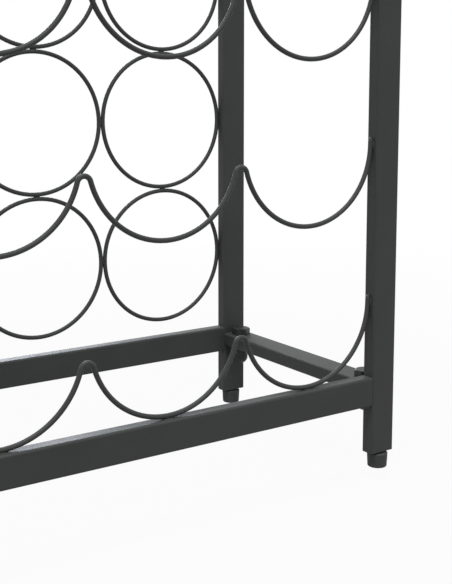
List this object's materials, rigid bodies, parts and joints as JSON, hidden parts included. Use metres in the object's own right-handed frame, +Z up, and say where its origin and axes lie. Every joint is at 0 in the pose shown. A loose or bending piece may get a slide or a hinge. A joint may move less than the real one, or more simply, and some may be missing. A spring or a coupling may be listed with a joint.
{
  "type": "wine rack",
  "caption": "Tall narrow floor-standing rack of black steel tube; wave wires in front and wire rings behind cradle bottles lying down, on levelling feet.",
  "frame": {"origin": "on the floor under the middle of the rack", "axes": "+X along the front to the right, +Y from front to back, +Z up"},
  "size_m": [0.34, 0.184, 1],
  "materials": {
    "powder_coat": "black powder coat, fine satin",
    "black_fastener": "black zinc plated steel",
    "foot_plastic": "moulded polyamide, matt",
    "zinc_stem": "zinc plated thread",
    "insert_plastic": "moulded polyamide, matt",
    "cap_plastic": "moulded polyethylene, satin"
  },
  "bodies": {
    "rack_frame": {"leg_front_left": "powder_coat", "rail_tongues_front_left": "powder_coat", "leg_insert_front_left": "insert_plastic", "leg_cap_front_left": "cap_plastic", "leg_front_right": "powder_coat", "rail_tongues_front_right": "powder_coat", "leg_insert_front_right": "insert_plastic", "leg_cap_front_right": "cap_plastic", "leg_rear_left": "powder_coat", "rail_tongues_rear_left": "powder_coat", "leg_insert_rear_left": "insert_plastic", "leg_cap_rear_left": "cap_plastic", "leg_rear_right": "powder_coat", "rail_tongues_rear_right": "powder_coat", "leg_insert_rear_right": "insert_plastic", "leg_cap_rear_right": "cap_plastic", "front_bottom_rail": "powder_coat", "rear_bottom_rail": "powder_coat", "left_bottom_rail": "powder_coat", "right_bottom_rail": "powder_coat", "front_top_rail": "powder_coat", "rear_top_rail": "powder_coat", "left_top_rail": "powder_coat", "right_top_rail": "powder_coat", "front_wave_1": "powder_coat", "rear_rings_1": "powder_coat", "front_wave_2": "powder_coat", "rear_rings_2": "powder_coat", "front_wave_3": "powder_coat", "rear_rings_3": "powder_coat", "front_wave_4": "powder_coat", "rear_rings_4": "powder_coat", "front_wave_5": "powder_coat", "rear_rings_5": "powder_coat", "front_wave_6": "powder_coat", "rear_rings_6": "powder_coat", "front_wave_7": "powder_coat", "rear_rings_7": "powder_coat", "front_wave_8": "powder_coat", "rear_rings_8": "powder_coat", "front_wave_9": "powder_coat", "rear_rings_9": "powder_coat", "hex_bolts": "black_fastener", "dome_nuts": "black_fastener"},
    "foot_front_left": {"foot_pad_front_left": "foot_plastic", "foot_stem_front_left": "zinc_stem"},
    "foot_front_right": {"foot_pad_front_right": "foot_plastic", "foot_stem_front_right": "zinc_stem"},
    "foot_rear_left": {"foot_pad_rear_left": "foot_plastic", "foot_stem_rear_left": "zinc_stem"},
    "foot_rear_right": {"foot_pad_rear_right": "foot_plastic", "foot_stem_rear_right": "zinc_stem"}
  },
  "joints": [
    {"name": "foot_front_left_height", "type": "slide", "parent": "rack_frame", "child": "foot_front_left", "axis": [0, 0, -1], "range_m": [-0.0009, 0.008]},
    {"name": "foot_front_right_height", "type": "slide", "parent": "rack_frame", "child": "foot_front_right", "axis": [0, 0, -1], "range_m": [-0.0009, 0.008]},
    {"name": "foot_rear_left_height", "type": "slide", "parent": "rack_frame", "child": "foot_rear_left", "axis": [0, 0, -1], "range_m": [-0.0009, 0.008]},
    {"name": "foot_rear_right_height", "type": "slide", "parent": "rack_frame", "child": "foot_rear_right", "axis": [0, 0, -1], "range_m": [-0.0009, 0.008]}
  ]
}
